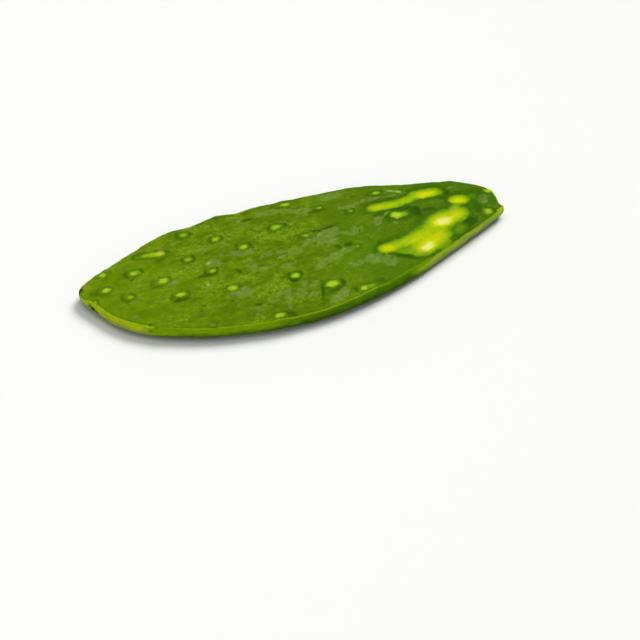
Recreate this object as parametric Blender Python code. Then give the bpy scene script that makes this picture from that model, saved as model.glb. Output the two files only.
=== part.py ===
"""A cleaned prickly pear cactus pad, ready to cook, lying flat.

The pad grew as one fleshy piece. Its body is a lens, thick in the middle and thin at the
rim. A knife has trimmed the rim off all round, in straight strokes and long curved ones,
and has cut the pad from its plant straight across. +X runs along the pad from the tip to
the stem cut, +Y points to the side with the straighter edge, and the pad rests on z = 0.
"""

import math

import bmesh
import bpy
from mathutils import Matrix

MM = 0.001  # one millimetre, in metres

# The whole pad
LENGTH = 220 * MM  # from the tip to the stem cut
WIDTH = 90 * MM  # across its widest part, to half a millimetre
THICKNESS = 10 * MM  # at its thickest, before it settles
SETTLED = 0.4 * MM  # how far its own weight flattens the underside

# The lens as it grew, which reaches past the trimmed rim
LENS_LENGTH = 1.155 * LENGTH
LENS_WIDTH = 1.22 * WIDTH
LENS_CENTRE = (4 * MM, 1 * MM)  # from the middle of the trimmed pad
LENS_TURN = math.radians(6)  # it leans across the trimmed pad's long axis
LENS_SIDES = 80
LENS_RINGS = 40

# The trimmed rim, anticlockwise from the stem cut. Two strokes of the knife meet at a
# corner, and one long curved stroke goes on through a bend. Each point is given in percent
# of half the length and half the width.
RIM_HANDLES = {"corner": "VECTOR", "bend": "AUTO"}
RIM = (
    ("corner", 99, 49),
    ("corner", 93.5, 62),
    ("corner", 83, 78.5),
    ("bend", 62, 86),
    ("corner", 45.5, 95.5),
    ("bend", 34.5, 99),
    ("bend", 10, 97.5),
    ("corner", -12, 95.5),
    ("bend", -20.5, 92),
    ("corner", -29.5, 95.5),
    ("corner", -43.5, 84),
    ("bend", -55, 81.5),
    ("corner", -62, 74.5),
    ("corner", -95, 28.5),
    ("bend", -99.9, 13.5),
    ("bend", -95.5, -16),
    ("bend", -83.5, -56),
    ("bend", -61, -83.5),
    ("bend", -34.5, -97),
    ("bend", -9, -98.5),
    ("bend", 13.5, -89),
    ("bend", 45.5, -60),
    ("bend", 62, -38),
    ("bend", 77, -17.5),
    ("corner", 97, 11),
    ("corner", 100, 17),
    ("corner", 98.6, 21),
)
RIM_STEPS = 6  # straight steps from one point of the rim to the next
TRIM_BLOCK_HEIGHT = 2 * THICKNESS  # taller than the lens, so that it trims all of the rim
WELD_DISTANCE = 0.01 * MM

SKIN_COLOUR = (0.117, 0.235, 0.005)
SKIN_ROUGHNESS = 0.45


def clear_scene():
    """Removes every object that the file holds at the start."""
    for obj in list(bpy.data.objects):
        bpy.data.objects.remove(obj, do_unlink=True)


def new_collection(name):
    """A new collection in the scene."""
    collection = bpy.data.collections.new(name)
    bpy.context.scene.collection.children.link(collection)
    return collection


def skin_material():
    """The waxy green skin of a young pad."""
    material = bpy.data.materials.new("cactus_skin")
    material.use_nodes = True
    shader = material.node_tree.nodes["Principled BSDF"]
    shader.inputs["Base Color"].default_value = (*SKIN_COLOUR, 1.0)
    shader.inputs["Roughness"].default_value = SKIN_ROUGHNESS
    shader.inputs["Metallic"].default_value = 0.0
    return material


def grown_lens(collection):
    """The untrimmed body: a sphere drawn out along the pad and flattened to its thickness."""
    placed = Matrix.Translation((*LENS_CENTRE, THICKNESS / 2 - SETTLED))
    turned = Matrix.Rotation(LENS_TURN, 4, "Z")
    sized = Matrix.Diagonal((LENS_LENGTH / 2, LENS_WIDTH / 2, THICKNESS / 2, 1))
    mesh = bpy.data.meshes.new("cactus_pad")
    body = bmesh.new()
    bmesh.ops.create_uvsphere(
        body,
        u_segments=LENS_SIDES,
        v_segments=LENS_RINGS,
        radius=1,
        matrix=placed @ turned @ sized,
    )
    body.to_mesh(mesh)
    body.free()
    pad = bpy.data.objects.new("cactus_pad", mesh)
    collection.objects.link(pad)
    return pad


def rim_curve(collection):
    """The trimmed outline, as a flat closed curve that is extruded into an upright block."""
    curve = bpy.data.curves.new("rim_outline", "CURVE")
    curve.dimensions = "2D"
    curve.fill_mode = "BOTH"
    curve.extrude = TRIM_BLOCK_HEIGHT / 2
    curve.resolution_u = RIM_STEPS
    curve.render_resolution_u = RIM_STEPS
    spline = curve.splines.new("BEZIER")
    spline.bezier_points.add(len(RIM) - 1)
    spline.use_cyclic_u = True
    for point, (kind, along, across) in zip(spline.bezier_points, RIM):
        point.co = (along / 100 * LENGTH / 2, across / 100 * WIDTH / 2, 0)
        point.handle_left_type = RIM_HANDLES[kind]
        point.handle_right_type = RIM_HANDLES[kind]
    outline = bpy.data.objects.new("rim_outline", curve)
    outline.location.z = TRIM_BLOCK_HEIGHT / 2
    collection.objects.link(outline)
    return outline


def as_cutter(outline, collection):
    """The extruded outline as one welded mesh, standing on z = 0, to trim the lens with."""
    graph = bpy.context.evaluated_depsgraph_get()
    mesh = bpy.data.meshes.new_from_object(outline.evaluated_get(graph))
    block = bmesh.new()
    block.from_mesh(mesh)
    bmesh.ops.remove_doubles(block, verts=block.verts, dist=WELD_DISTANCE)
    block.to_mesh(mesh)
    block.free()
    cutter = bpy.data.objects.new("rim_cutter", mesh)
    cutter.matrix_world = outline.matrix_world
    cutter.hide_render = True
    cutter.display_type = "WIRE"
    collection.objects.link(cutter)
    bpy.data.objects.remove(outline, do_unlink=True)
    return cutter


def trim(pad, cutter):
    """Keeps what the rim's outline holds, above the surface that the pad rests on."""
    trimming = pad.modifiers.new("trimmed_rim", "BOOLEAN")
    trimming.operation = "INTERSECT"
    trimming.solver = "EXACT"
    trimming.object = cutter


def build():
    """Models the pad, with its knife-trimmed rim, its stem cut and the flat that it rests on."""
    clear_scene()
    pads = new_collection("prickly_pear_cactus_pad")
    cutters = new_collection("cutters")
    pad = grown_lens(pads)
    pad.data.materials.append(skin_material())
    outline = rim_curve(cutters)
    bpy.context.view_layer.update()
    trim(pad, as_cutter(outline, cutters))
    pad.data.shade_smooth()


build()
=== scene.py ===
"""A pared prickly pear pad: one nopal pad, its spines shaved off and its edge trimmed, on a plain stage.

The natural skin is grown first: a lens with low swells, wrinkles and a raised cushion at each spine cluster.
A knife then passes over it. Each place keeps how deep the knife went, and the finish reads that depth:
waxy skin, then dark green rind, then yellow-green and pale flesh.
"""

import math
from collections import namedtuple
from itertools import starmap

import bmesh
import bpy
import numpy as np
from bpy.props import FloatProperty, FloatVectorProperty, PointerProperty
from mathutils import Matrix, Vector, kdtree, noise


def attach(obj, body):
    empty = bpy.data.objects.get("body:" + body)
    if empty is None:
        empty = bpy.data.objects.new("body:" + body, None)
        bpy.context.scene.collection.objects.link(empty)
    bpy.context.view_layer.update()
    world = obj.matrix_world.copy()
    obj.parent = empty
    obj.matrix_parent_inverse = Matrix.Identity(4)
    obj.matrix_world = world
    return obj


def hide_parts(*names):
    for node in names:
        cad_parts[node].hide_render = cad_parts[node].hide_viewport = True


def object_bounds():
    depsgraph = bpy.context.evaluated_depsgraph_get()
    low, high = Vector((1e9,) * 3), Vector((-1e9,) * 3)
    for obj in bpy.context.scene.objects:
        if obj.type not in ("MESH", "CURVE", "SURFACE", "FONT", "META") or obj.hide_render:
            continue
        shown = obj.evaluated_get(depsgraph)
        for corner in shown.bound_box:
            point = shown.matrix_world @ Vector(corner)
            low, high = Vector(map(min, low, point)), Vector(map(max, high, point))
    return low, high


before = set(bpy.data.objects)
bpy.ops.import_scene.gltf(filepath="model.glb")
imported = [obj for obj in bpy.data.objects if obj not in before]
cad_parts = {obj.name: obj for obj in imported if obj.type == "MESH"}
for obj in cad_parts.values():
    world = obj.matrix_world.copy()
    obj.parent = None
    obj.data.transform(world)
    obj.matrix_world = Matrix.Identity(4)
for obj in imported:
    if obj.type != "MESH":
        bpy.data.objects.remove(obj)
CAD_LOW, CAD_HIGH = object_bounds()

bl_info = {
    "name": "Pared Prickly Pear Pad",
    "version": (1, 0, 0),
    "blender": (4, 5, 0),
    "location": "3D View > Sidebar > Cactus",
    "description": "Builds a pared prickly pear pad and a plain studio stage",
    "category": "Object",
}

MM = 0.001
PIECE = "pared_cactus_pad"
CAD_NODE = "cactus_pad"
HALF_LENGTH = (CAD_HIGH.x - CAD_LOW.x) / 2 / MM
HALF_WIDTH = (CAD_HIGH.y - CAD_LOW.y) / 2 / MM

# The outline's sides, anticlockwise, and where each starts in percent of half the length and half the width.
SIDES = {"near": (-95.5, -16), "stem": (97, 11), "far": (98.6, 21), "tip": (-95, 28.5)}

# Lengths are in mm: x runs from the tip to the stem, y across, and turn is in degrees from the pad's length.
# pale: how far into the flesh a cut's middle goes. rind: how dark the rind shows round it. Both are 0 to 1.

# A shaved spine cushion. lean: how far the rind round it is shifted, towards the stem if positive.
Scar = namedtuple("Scar", "x y length width turn pale rind lean")
TOP_SCARS = tuple(starmap(Scar, (
    (-96.6, 14.3, 6.2, 5.6, 8, 0.41, 0.4, 0.8), (-97.4, 1.2, 6.6, 5.4, 4, 0.47, 0.45, -1.4),
    (-104.7, -6, 3.6, 4.8, 0, 0.36, 0.2, 0), (-87.5, -7.7, 5.6, 5.2, 4, 0.31, 0.6, -1.2),
    (-81.7, 9.3, 8.4, 5.6, 4, 0.39, 0.6, -0.4), (-66.6, 20, 7.4, 6.8, 10, 0.47, 0.5, 0.8),
    (-69.6, 20.5, 12, 7.4, -4, 0.34, 0.5, -0.6), (-74, 21.2, 9, 5.2, -6, 0.3, 0.55, -1.6),
    (-70, -1.3, 9, 6.2, 4, 0.44, 0.5, -1.2), (-64, -13.9, 8.4, 5.8, 2, 0.42, 0.6, -0.4),
    (-52, 31.5, 7, 5.6, 8, 0.34, 0.7, 0), (-54.6, 10.8, 6, 5.2, 14, 0.35, 0.75, 0),
    (-37.7, 22.2, 6.2, 5, 6, 0.39, 0.7, 0), (-45.2, -1.6, 5.6, 4.8, 20, 0.38, 0.85, -1.2),
    (-39.3, -16.6, 7.2, 5.6, 14, 0.45, 0.6, 0.8), (-26.4, 11.5, 7, 6, 8, 0.42, 0.9, 0.2),
    (-6.8, 21.9, 9.4, 6, 12, 0.36, 0.85, 0.6), (2.8, 39.8, 8.4, 4.6, 2, 0.42, 0.5, -2.6),
    (-8.2, -16.9, 6.6, 5.4, 10, 0.47, 0.95, 0), (5.4, 10.6, 5, 4, 14, 0.33, 0.5, -1.2),
    (8.4, 11.4, 4.4, 3, 14, 0.22, 0.2, 0), (18.8, 31.3, 5.4, 3.6, 14, 0.34, 0.3, -2),
    (27.4, -4.6, 3.2, 3.2, 0, 0.32, 0.1, 0), (7, -28, 10, 6.6, 4, 0.5, 0.8, 0.6),
    (33, 23.8, 4.2, 3.8, 20, 0.3, 0.4, -0.8), (50.2, 34.9, 7.6, 4.2, 6, 0.38, 0.5, -0.6),
    (53.6, 13.3, 8, 7.8, 2, 0.56, 0.75, 0), (56.6, 13.4, 10, 7, -2, 0.32, 0.8, 1),
    (-23.4, -41.4, 8.6, 4.6, 6, 0.45, 0.6, 1.8), (20.8, -34.8, 6.4, 4.6, 8, 0.48, 0.6, -1),
    (24.4, -34.4, 9.6, 4.6, 12, 0.28, 0.5, 1), (99.8, 4.4, 7.4, 8.4, 10, 0.38, 0.3, 0),
    (106.4, 21.4, 7.4, 5.6, -20, 0.4, 0.2, 0),
)))

# A pass of the knife along the pad. Passes that overlap add up.
Stroke = namedtuple("Stroke", "x y length width turn pale rind")
TOP_STROKES = tuple(starmap(Stroke, (
    (53, 23.2, 28, 8.2, 3, 0.5, 0.6), (46.2, 22.9, 12, 8, 4, 0.46, 0.3), (64, 25.2, 15, 8, 20, 0.44, 0.5),
    (74.4, 27.8, 21, 9.6, 2, 0.68, 0.6), (41.8, -9.6, 13, 8.4, 8, 0.66, 0.6),
    (53, -7.2, 34, 9.6, 14, 0.46, 0.45), (62, -5, 34, 15, 26, 0.5, 0.4),
    (62.5, -12, 29, 14.4, 27, 0.62, 0.6), (61, -13.2, 15.5, 8.8, 32, 0.84, 0),
    (70, -7.4, 17, 12, 40, 0.5, 0.3), (75.2, 3.6, 26, 16, 24, 0.62, 0.6),
    (75.2, 3.3, 16, 10.2, 8, 0.86, 0), (84, 6.6, 16, 13, 40, 0.56, 0.5),
    (89, 17.8, 13, 9.6, 0, 0.68, 0.6), (85.5, 12.6, 9, 7, 60, 0.26, 0.2), (97, 19, 8, 9, 0, 0.16, 0.4),
    (49.5, -14.4, 22, 8, -20, 0.26, 0.7), (81, -5.4, 16, 9, 40, 0.2, 0.6),
    (70, -15.4, 16, 5, 34, 0.22, 0.4),
)))
UNDERSIDE_STROKES = tuple(starmap(Stroke, (
    (84, 6, 30, 10, 8, 0.66, 0.8), (80, 5, 14, 7, 10, 0.8, 0), (70, -6, 28, 9, 14, 0.58, 0.7),
    (-84, 4, 24, 8, -6, 0.52, 0.6),
)))

# Where the knife only grazed the skin, or went beside a scar, and dark rind shows.
Graze = namedtuple("Graze", "x y length width turn strength")
TOP_GRAZES = tuple(starmap(Graze, (
    (57.5, 18.3, 14, 4.2, -8, 0.95), (64.4, 14.2, 6, 8.4, -8, 1), (71, 13.8, 8, 3.6, 0, 0.75),
    (64, 7.6, 10, 5, 70, 0.5), (46, 17.4, 8, 4, 24, 0.75), (48.2, 12.4, 2.4, 5.6, 10, 0.55),
    (84.4, 26.4, 4.6, 7, 12, 0.85), (82, 21.4, 6, 4.6, -10, 0.65), (87.4, -1.6, 12, 6.6, 42, 0.95),
    (95.6, 9, 11, 4.4, 76, 0.7), (48.6, -18, 17, 4.4, -24, 0.95), (60.5, -20.6, 10, 3, 4, 0.7),
    (36, -8.4, 11, 1.8, 62, 0.7), (-49.6, -3.6, 8, 2.8, -8, 0.75), (1.2, -31, 1.8, 12, -14, 0.8),
    (5, -33.4, 9, 2.6, 16, 0.5), (9.2, -31.6, 8, 2.2, 24, 0.75), (12.4, -28.6, 3, 5, -16, 0.85),
    (30.6, -32, 6.6, 3.4, -8, 0.65), (-17.4, -42, 5.4, 3.2, -20, 0.8), (-77.4, 23.4, 8, 2.6, 24, 0.45),
    (-66, 15.6, 8, 2.4, 16, 0.45), (-102.5, 0.4, 8, 4, -24, 0.35), (-64.6, -17.8, 8, 2.4, 4, 0.75),
    (-68.8, -15.6, 2.4, 4, 16, 0.5), (-9.9, -20.2, 4.4, 2.2, -10, 0.95), (-73.4, -4.6, 8, 1.6, 0, 0.5),
    (-86.2, 10.6, 1.6, 4, -20, 0.5), (-91.4, -8, 2, 5, 8, 0.45), (-53.8, 28.4, 3, 1.6, -30, 0.6),
    (-41.2, 20.6, 1.8, 3.4, 20, 0.65), (-34.4, 22.6, 2.2, 3, 0, 0.5), (17, 29, 10, 2.2, 0, 0.55),
    (11.6, 12.3, 5.4, 2.2, -4, 0.95), (17.6, 13.6, 10, 1.9, 16, 0.8), (18, -2.4, 3.6, 4.2, 24, 0.75),
    (23.2, -1.8, 5, 2.6, 10, 0.7), (-18.9, 32.9, 7.2, 2.2, 6, 0.75), (-30.8, -31.4, 4, 1.2, -10, 0.8),
    (-42, -25.6, 2.4, 1.6, 0, 0.6), (-56, -40.6, 4, 2, 0, 0.8), (-27.2, -42.6, 1.6, 3, 8, 0.5),
    (-33.4, -5.8, 2, 4.6, 12, 0.6), (-58, -28.2, 2.2, 1.4, 0, 0.6), (-20, 39, 10, 1.6, 0, 0.3),
)))

# Nicks and furrows in the skin, with their depth in mm. Their bottoms are darkened with painted shade.
Nick = namedtuple("Nick", "x y length width turn depth")
TOP_NICKS = tuple(starmap(Nick, (
    (11.6, 12.3, 5, 1.6, -4, 0.25), (17.6, 13.6, 10, 1.4, 16, 0.35), (18, -2.4, 3.4, 3.6, 24, 0.35),
    (23.2, -1.8, 5, 2, 10, 0.3), (-18.9, 32.9, 7, 2, 6, 0.3), (-33.4, -5.8, 1.8, 4.4, 12, 0.25),
    (-31.4, -9, 5, 1, -14, 0.2), (-40.8, -27, 1.2, 5, 8, 0.2), (-30.8, -31.4, 4, 1.2, -10, 0.25),
    (-56, -40.6, 5, 1.8, 4, 0.3), (-83.3, -29.6, 3, 2, 0, 0.35), (-84, 4.6, 5, 1.2, 20, 0.2),
    (47.6, 15.6, 7, 1, 42, 0.2), (55, 8.8, 11, 0.8, -15, 0.2), (32, 7.2, 1, 4.4, -24, 0.2),
    (40, -38, 6, 1.2, 30, 0.2),
)))

# Wet patches of skin with a wax film. Their grey is partly the film's own and partly painted sheen, and a
# strength above 1 adds a painted glint.
Patch = namedtuple("Patch", "x y length width turn strength")
TOP_PATCHES = tuple(starmap(Patch, (
    (6, 5.5, 15, 6, 4, 0.7), (15.5, 6.5, 16, 12, 20, 1), (19, 11, 10, 5, 20, 1.1),
    (27.5, 8, 11, 7, 10, 0.9), (34, 7.4, 3.4, 7.6, -10, 0.7), (14, 1, 9, 3.4, 0, 0.7),
    (-3.5, 0.4, 11, 5.5, 22, 0.7), (-10.8, 2, 4, 4, 30, 0.8), (-9, -9, 8.5, 5, 0, 0.8),
    (8.5, -11.5, 11, 5.5, 24, 0.9), (15, -8.6, 10, 5, 26, 1.1), (21.5, -5.6, 9, 4.2, 12, 0.9),
    (24, -17, 9, 4, 22, 0.6), (32.4, -15.6, 11, 7.6, 14, 1.1), (39, -17.4, 9, 6.4, -4, 0.9),
    (38.6, -21.4, 9.5, 5, 0, 1), (6, -37.4, 10, 4.8, 12, 1.1), (11.2, -34.8, 4, 6.4, -16, 1.1),
    (17, -37, 5, 2.4, 10, 0.7), (-4, -24.5, 8, 7.5, 40, 0.6), (-7, -31, 10, 9, 20, 0.6),
    (-6, 35.6, 15, 5.4, 2, 0.9), (3, 33.2, 9, 4, -16, 0.8), (10, 31, 11, 4, -4, 1),
    (9, 28.4, 9, 3.2, 12, 0.7), (0.8, 22.6, 3.2, 2.4, 10, 1.2), (-2, 25.2, 4.4, 1.8, -10, 0.9),
    (27.6, 40, 13, 6, 4, 1.1), (26, 38, 9, 3, 0, 1.2), (31, 27.6, 11, 3.2, -12, 1),
    (38.4, 28.6, 11, 3.6, 10, 1), (45, 30.6, 11, 4, 8, 0.9), (43.2, 11.6, 4.4, 7.6, -24, 0.9),
    (48.6, 15.6, 8, 1.5, 40, 1.5), (51.4, 7.8, 4, 2.2, 0, 0.7), (60.4, 33.6, 10, 2, -27, 1.8),
    (58, 30.4, 12, 1.6, 6, 0.8), (100.6, 14, 5, 5, 20, 1.1), (101.8, 17.8, 4, 4, 50, 0.9),
    (87, 29.6, 8, 3, -10, 0.6), (-44, 4.4, 8, 7.4, 4, 1.4), (-30, 7.6, 18, 5, -8, 0.9),
    (-17, 2.4, 9, 5, 20, 0.8), (-10.6, -1.8, 4, 2.6, 10, 1.4), (-26.4, -4.4, 6, 8.4, -14, 0.8),
    (-21.6, -7.4, 5, 3.6, 0, 0.9), (-49.6, -12.2, 7, 4.4, 10, 0.8), (-50, -11, 1.6, 3.4, -10, 1.7),
    (-35.6, -21.2, 11, 7.6, 4, 1.1), (-43, -22.6, 4, 3, 0, 0.7), (-17.4, -27, 9, 6.4, 14, 0.9),
    (-16.2, -32.4, 3.4, 8, -10, 0.9), (-17, -37.6, 2, 4, -8, 1), (-9.2, -28, 3, 6, -12, 0.8),
    (-22, -31, 6, 3, 10, 0.8), (-33, -35, 12, 5.6, 8, 0.6), (-49, -26.8, 8, 2.2, 0, 0.7),
    (-40.4, -27.4, 1.2, 5.4, 8, 1.3), (-57.4, -29.8, 5, 2.4, 0, 0.9), (-55.2, -38.6, 2.4, 2.4, 0, 1.1),
    (-61, -35, 8, 4.6, 24, 0.6), (-57.8, 26.4, 6, 3.4, 6, 0.9), (-48.4, 34, 1.6, 4, -10, 0.9),
    (-40.6, 25.6, 3.6, 2, 10, 1), (-36.2, 16.6, 7.4, 4.2, 4, 0.8), (-31, 23.4, 5, 2.6, 0, 0.7),
    (-23, 33.6, 3, 3.2, 30, 1), (-21.8, 29.2, 6.4, 4.2, -6, 0.7), (-17.6, 26.4, 4.6, 5, 20, 0.7),
    (-14, 24.4, 7, 3.6, 10, 0.6), (-11.2, 35.4, 5, 4, 24, 0.9), (-44, 16.6, 16, 3, 8, 0.5),
    (-28.4, 13.8, 1.8, 1.6, 0, 1.1), (-87.6, 18.2, 8.6, 6, 14, 0.6), (-83.4, 5, 3.4, 2.6, 0, 0.7),
    (-80.6, 3.4, 3, 2, 10, 0.8), (-68, -5.6, 5.2, 3, 40, 1), (-63.4, -3.4, 4.6, 1.5, 6, 0.8),
    (-75.4, -1.6, 3, 2.4, 0, 0.6), (-87.4, -12, 3.4, 1.6, 0, 0.9), (-92.4, -12.4, 1.2, 2, -8, 0.8),
    (-76, -15, 3.4, 3, 0, 0.5), (-88.4, -22.2, 3.8, 2.2, 0, 0.9), (-67, -23, 7, 3, 14, 0.5),
    (-58, 13.8, 3.6, 2.4, -30, 0.8),
)))
UNDERSIDE_PATCHES = tuple(starmap(Patch, (
    (-20, 10, 26, 9, 12, 0.8), (24, -14, 22, 8, 16, 0.9), (40, 20, 18, 7, 8, 0.7),
    (-55, -12, 16, 7, 10, 0.7), (0, -30, 20, 7, 6, 0.7),
)))

# Where cut flesh or skin has started to brown: x, y, radius in mm and strength.
BROWNED = (
    (-106.6, 7.4, 3, 0.3), (-94.8, 2.4, 1.6, 0.15), (-65.6, 22.4, 2, 0.4), (-80.8, 9.4, 0.9, 0.45),
    (-103.6, 13, 1.8, 0.25), (57.6, -17.2, 2.2, 0.45), (67.6, -13.2, 1.6, 0.3), (83, 10.8, 2.4, 0.3),
    (82.6, 3.6, 1.6, 0.2), (62, -5.4, 2, 0.15), (39, -15.4, 1.2, 0.25), (77.5, -2.5, 2.4, 0.15),
    (-97, 1.6, 2.6, 0.15), (-96.6, 14.3, 2.6, 0.12), (-67, 20, 3, 0.16), (-70, -1.3, 2.6, 0.08),
)

# Everything done to one face.
Work = namedtuple("Work", "scars strokes grazes nicks patches browned")

# The rim's pared stretches: (side, from x, to x, bevel width in mm, how pale). Their pale colour also paints
# the thin highlight along the rounded top edge.
RimCut = namedtuple("RimCut", "side start end width pale")
RIM_CUTS_AND_HIGHLIGHTS = tuple(starmap(RimCut, (
    ("near", -110, -80, 1.6, 0.54), ("near", -84, 10, 0.8, 0.36), ("near", 2, 30, 0.9, 0.34),
    ("near", 24, 62, 1.5, 0.22), ("near", 102, 116, 1.1, 0.44), ("far", 102, 116, 1.2, 0.46),
    ("far", -112, -56, 0.8, 0.4), ("far", -56, 80, 0.5, 0.28), ("far", 80, 104, 0.6, 0.36),
)))

# Dry corky spots on the rim: x, y, z and radius in mm, and how dark.
CORK_SPOTS = (
    (-109.5, 6.2, 5.4, 2.2, 1), (-106.6, -4.4, 5, 1.2, 0.7), (-105.6, -6.2, 4.1, 1.5, 1),
    (-104.4, -8.5, 3.2, 1.4, 0.8), (-83.5, -31, 5, 1.3, 0.5),
)

# Layers of noise: strength, a feature's size in mm along x, y and z, seed, and degrees turned if any.
WOBBLE = ((0.12, 2.6, 2), (0.12, 1.3, 1))
TORN_FILM = ((1, (6, 3, 9), 9, 18), (1, (2.2, 1.6, 9), 13, 18))
SWELL = ((1, (34, 20, 30), 3), (0.5, (13, 9, 30), 4))
WRINKLE = ((1, (7, 2.8, 30), 5), (0.7, (3.2, 1.9, 30), 6))
EDGE_RIPPLE = ((0.16, (6, 6, 3), 7), (0.1, (2.4, 2.4, 1.6), 10))
EDGE_RAGGED = ((0.14, (5, 5, 2), 8),)
EDGE_UNEVEN = ((0.25, (14, 14, 3), 11), (0.3, (3, 3, 0.9), 14))
EDGE_DRY = ((1, (7, 7, 2.5), 12),)
EDGE_WET = ((0.9, (5, 5, 2), 15),)


# ---- colours and settings


def linear(code):
    """An sRGB hex colour such as "#62850A" as linear red, green and blue."""
    parts = [int(code[i:i + 2], 16) / 255 for i in (1, 3, 5)]
    return tuple(c / 12.92 if c <= 0.04045 else ((c + 0.055) / 1.055) ** 2.4 for c in parts)


def colour_property(name, code, description):
    """A colour setting whose default is given as sRGB hex."""
    return FloatVectorProperty(name=name, description=description, subtype="COLOR", size=3, min=0, max=1,
                               default=linear(code))


def size_property(name, size, description, least=0.0):
    """A size setting whose default and least value are given in mm."""
    return FloatProperty(name=name, description=description, default=size * MM, min=least * MM, precision=5,
                         unit="LENGTH")


class PadShape(bpy.types.PropertyGroup):
    """Sizes of the pad's surface."""

    cell: size_property("Cell", 0.57, "Spacing of the skin's mesh at the middle of the pad", 0.3)
    swell: size_property("Swell", 0.4, "Height of the skin's long low swells")
    wrinkle: size_property("Wrinkle", 0.2, "Depth of the small wrinkles along the pad")
    cushion: size_property("Cushion", 0.75, "How far a spine cushion stands above the skin")
    shave: size_property("Shave", 0.62, "How deep the knife goes into a cushion")
    scoop: size_property("Scoop", 1, "How deep a long stroke goes where it is palest")
    edge_radius: size_property("Edge radius", 0.45, "Rounding where the edge meets the top")
    undercut: size_property("Undercut", 1.6, "How far the underside stays inside the edge")


class PadColours(bpy.types.PropertyGroup):
    """Colours of the skin and of the flesh that the knife shows."""

    skin: colour_property("Skin", "#668800", "Olive green skin at the tip")
    stem_skin: colour_property("Stem skin", "#466D00", "Greener skin towards the stem")
    far_skin: colour_property("Far skin", "#6C7C00", "Browner skin towards the far side")
    skin_deep: colour_property("Deep skin", "#3E5E00", "Darker skin between the lighter mottles")
    # Lighter mottles of the skin, also used for its light specks, which are partly painted glints.
    skin_light_and_glints: colour_property("Light skin", "#7FA30F", "Lighter mottles and flecks in the skin")
    # Grey of the wax film, partly painted sheen.
    film_and_sheen: colour_property("Bloom", "#738E36", "Greyish wax and water left on the skin")
    # A painted glint: pale colour standing in for highlights on the film, in small flecks and on the wet cut
    # edge.
    glint: colour_property("Glint", "#A6C05E", "Where the film on the skin is thickest")
    scar: colour_property("Scar", "#ACD238", "Pale green flesh of a shaved cushion")
    rind: colour_property("Rind", "#295000", "Dark green rind just under the skin")
    green_flesh: colour_property("Green flesh", "#487E00", "Green flesh under the rind")
    flesh: colour_property("Flesh", "#98BA00", "Yellow-green flesh at middle depth")
    pale_flesh: colour_property("Pale flesh", "#CBD200", "Yellow flesh further in")
    heart: colour_property("Heart", "#ECEE84", "Pale flesh at the deepest cuts")
    browned: colour_property("Browned flesh", "#A88C3C", "Flesh that has begun to brown")
    # Dry, corky brown at the tip, and also the painted shadow at the foot of the edge near the stem.
    cork_and_shadow: colour_property("Cork", "#261A0A", "Dry brown cork at the tip")


class StageSettings(bpy.types.PropertyGroup):
    """The floor, the light and the camera."""

    floor: colour_property("Floor", "#F8F8F6", "Pale floor")
    sky: colour_property("Backdrop", "#EDEDEB", "Pale backdrop beyond the floor")
    key: FloatProperty(name="Key light", description="Strength of the broad light beyond the stem end",
                       default=2.44, min=0)
    top: FloatProperty(name="Top light", description="Power of the softbox overhead", default=6,
                       unit="POWER")
    fill: FloatProperty(name="Fill light", description="Power of the softbox at the tip", default=1.5,
                        unit="POWER")
    azimuth: FloatProperty(name="Azimuth", description="Camera's turn round the pad",
                           default=math.radians(-17.36), subtype="ANGLE", unit="ROTATION")
    elevation: FloatProperty(name="Elevation", description="Camera's height above the horizon",
                             default=math.radians(41), subtype="ANGLE", unit="ROTATION")
    distance: FloatProperty(name="Distance", description="Camera's distance from what it looks at",
                            default=0.8467, unit="LENGTH")


# ---- the plain form, from the CAD solid


def smooth(value, start, end):
    """0 before start, 1 past end and an even ramp between; start may be the larger."""
    t = np.clip((value - start) / (end - start), 0, 1)
    return t * t * (3 - 2 * t)


def turned(x, y, degrees):
    """x and y measured along and across a direction that is turned from the pad's length."""
    turn = math.radians(degrees)
    return x * math.cos(turn) + y * math.sin(turn), y * math.cos(turn) - x * math.sin(turn)


# How far the noise of one seed lies from the next, in features.
SEED_STEP = 17.3


def layered(points, layers):
    """Layers of even noise at each point, each from about minus to plus its strength, added up."""
    total = np.zeros(len(points))
    for strength, size, seed, *turn in layers:
        x, y, z = points.T
        scaled = np.stack([*turned(x, y, *turn or [0]), z], axis=-1) / np.broadcast_to(size, 3)
        total += strength * np.array([noise.noise(Vector(p)) for p in scaled + SEED_STEP * seed])
    return total


def steps_along(points):
    """The distance from the first of a line of points to each of them."""
    return np.concatenate([[0], np.cumsum(np.hypot(*np.diff(points, axis=0).T))])


def at_steps(points, along, wanted):
    """A line's points at the wanted distances along it."""
    return np.stack([np.interp(wanted, along, points[:, k]) for k in (0, 1)], axis=-1)


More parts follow.
